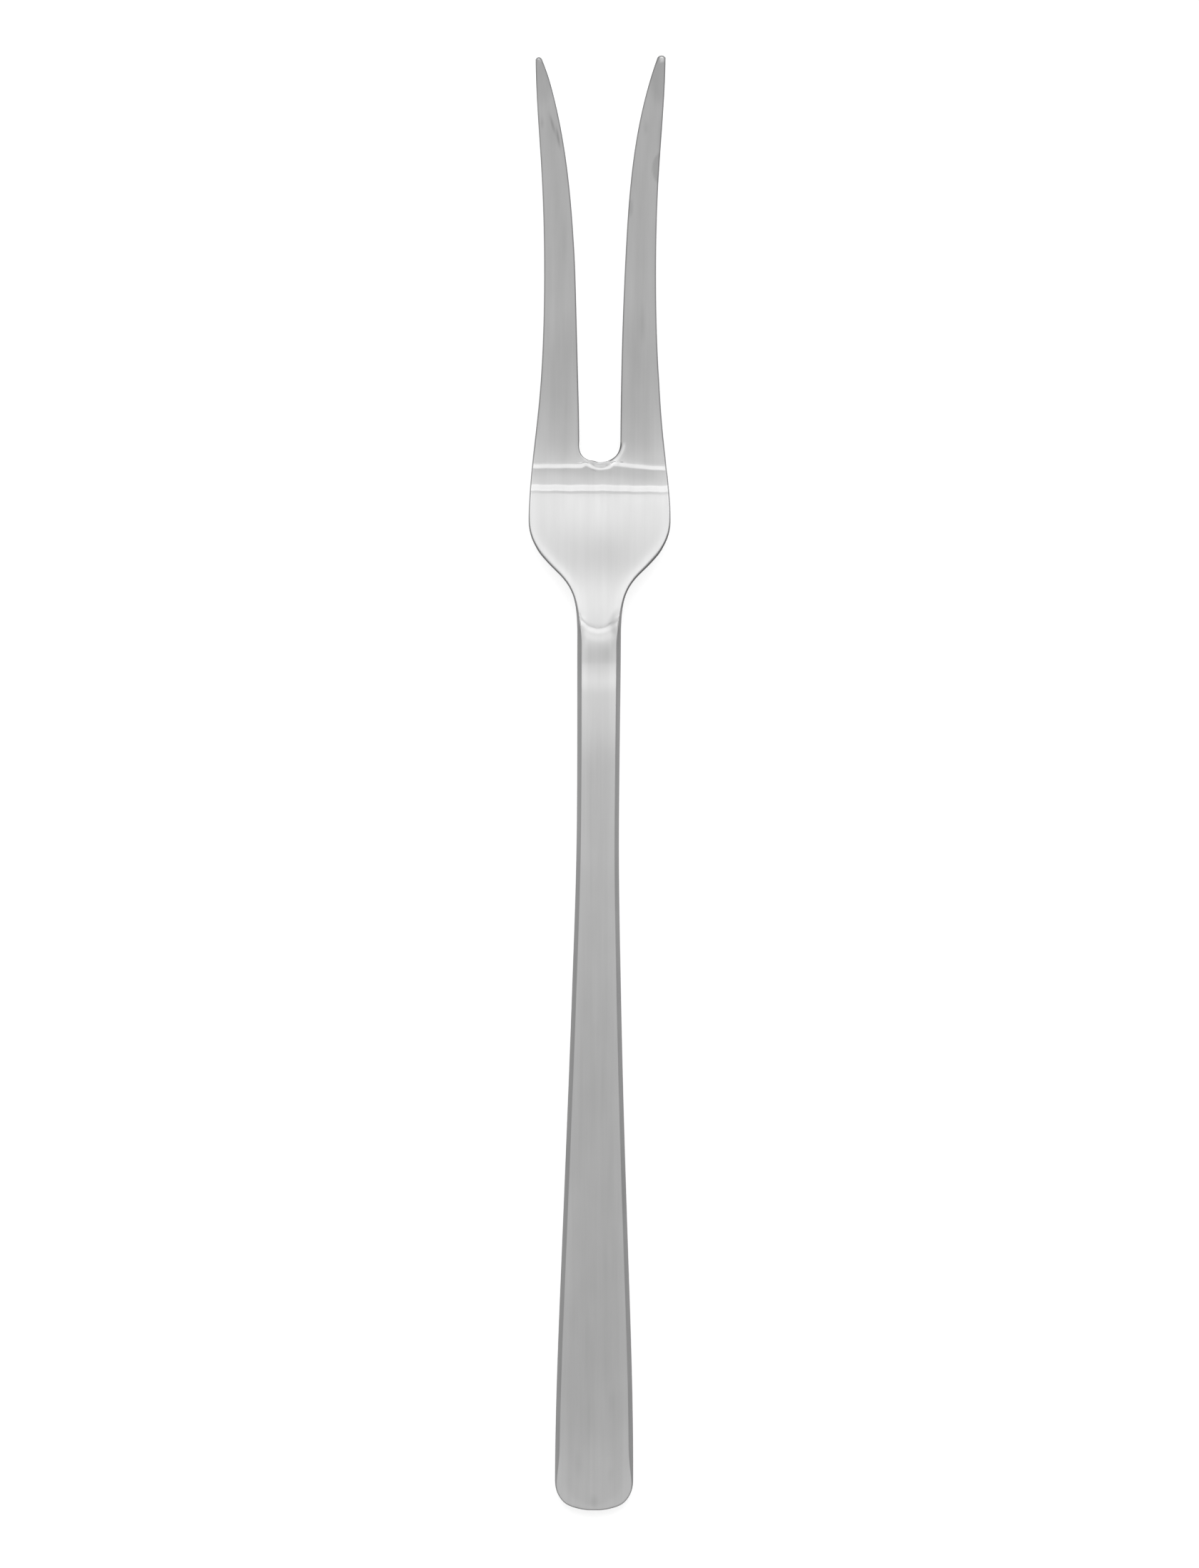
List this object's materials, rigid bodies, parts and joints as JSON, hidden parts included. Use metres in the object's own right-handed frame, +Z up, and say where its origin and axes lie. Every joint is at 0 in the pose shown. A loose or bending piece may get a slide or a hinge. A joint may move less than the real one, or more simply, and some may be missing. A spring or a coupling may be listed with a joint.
{
  "type": "meat fork",
  "caption": "Slim serving fork for meat: long flared handle, bevelled neck, stepped shoulder and two long tines that bow apart, one piece of brushed steel.",
  "frame": {"origin": "middle of the footprint, on the table that the fork lies on", "axes": "+Y along the fork from the handle to the tips of the tines, +X across it, +Z up out of its front face"},
  "size_m": [0.0206, 0.21, 0.01],
  "materials": {
    "brushed_steel": "satin stainless steel, finely brushed along the fork, with ground steps at the root of the tines"
  },
  "bodies": {
    "root": {"meat_fork": "brushed_steel"}
  },
  "joints": []
}
